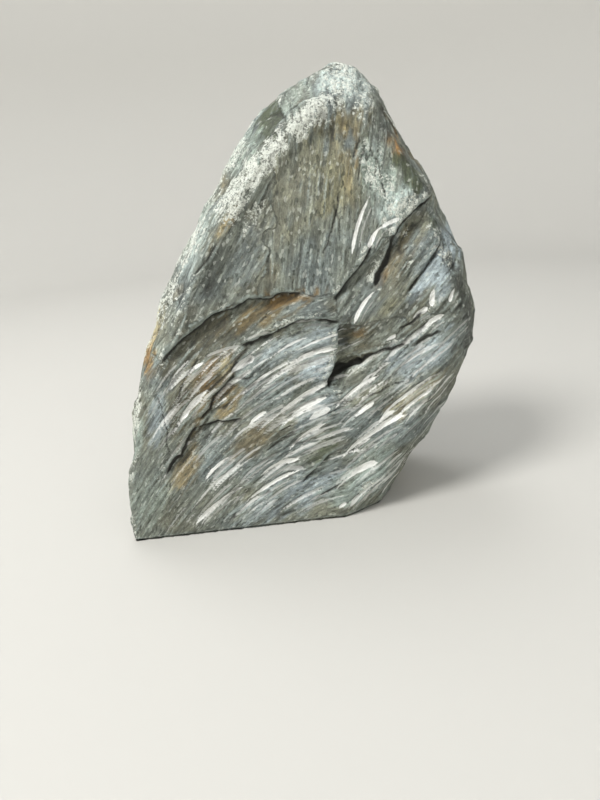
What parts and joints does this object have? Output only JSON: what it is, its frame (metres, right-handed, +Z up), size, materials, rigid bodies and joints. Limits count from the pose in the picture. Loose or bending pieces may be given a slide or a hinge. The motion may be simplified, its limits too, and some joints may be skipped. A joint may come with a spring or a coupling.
{
  "type": "soapstone block",
  "caption": "Rough, undressed block of soapstone for carving: a leaning, pointed slab with a flat base, parted ledges and short chisel furrows across its front.",
  "frame": {"origin": "middle of the block's outline box at the level of its flat base", "axes": "+Z up, along the block's tallest direction; -Y out of the chiselled front; +X to the side that overhangs the base"},
  "size_m": [0.1768, 0.0868, 0.2087],
  "materials": {
    "soapstone": "grey-green talc rock, dull to faintly waxy, with rusty stains, dark layer cracks, white crushed chisel strokes and a pale dusty crest"
  },
  "bodies": {
    "root": {"soapstone_block": "soapstone"}
  },
  "joints": []
}
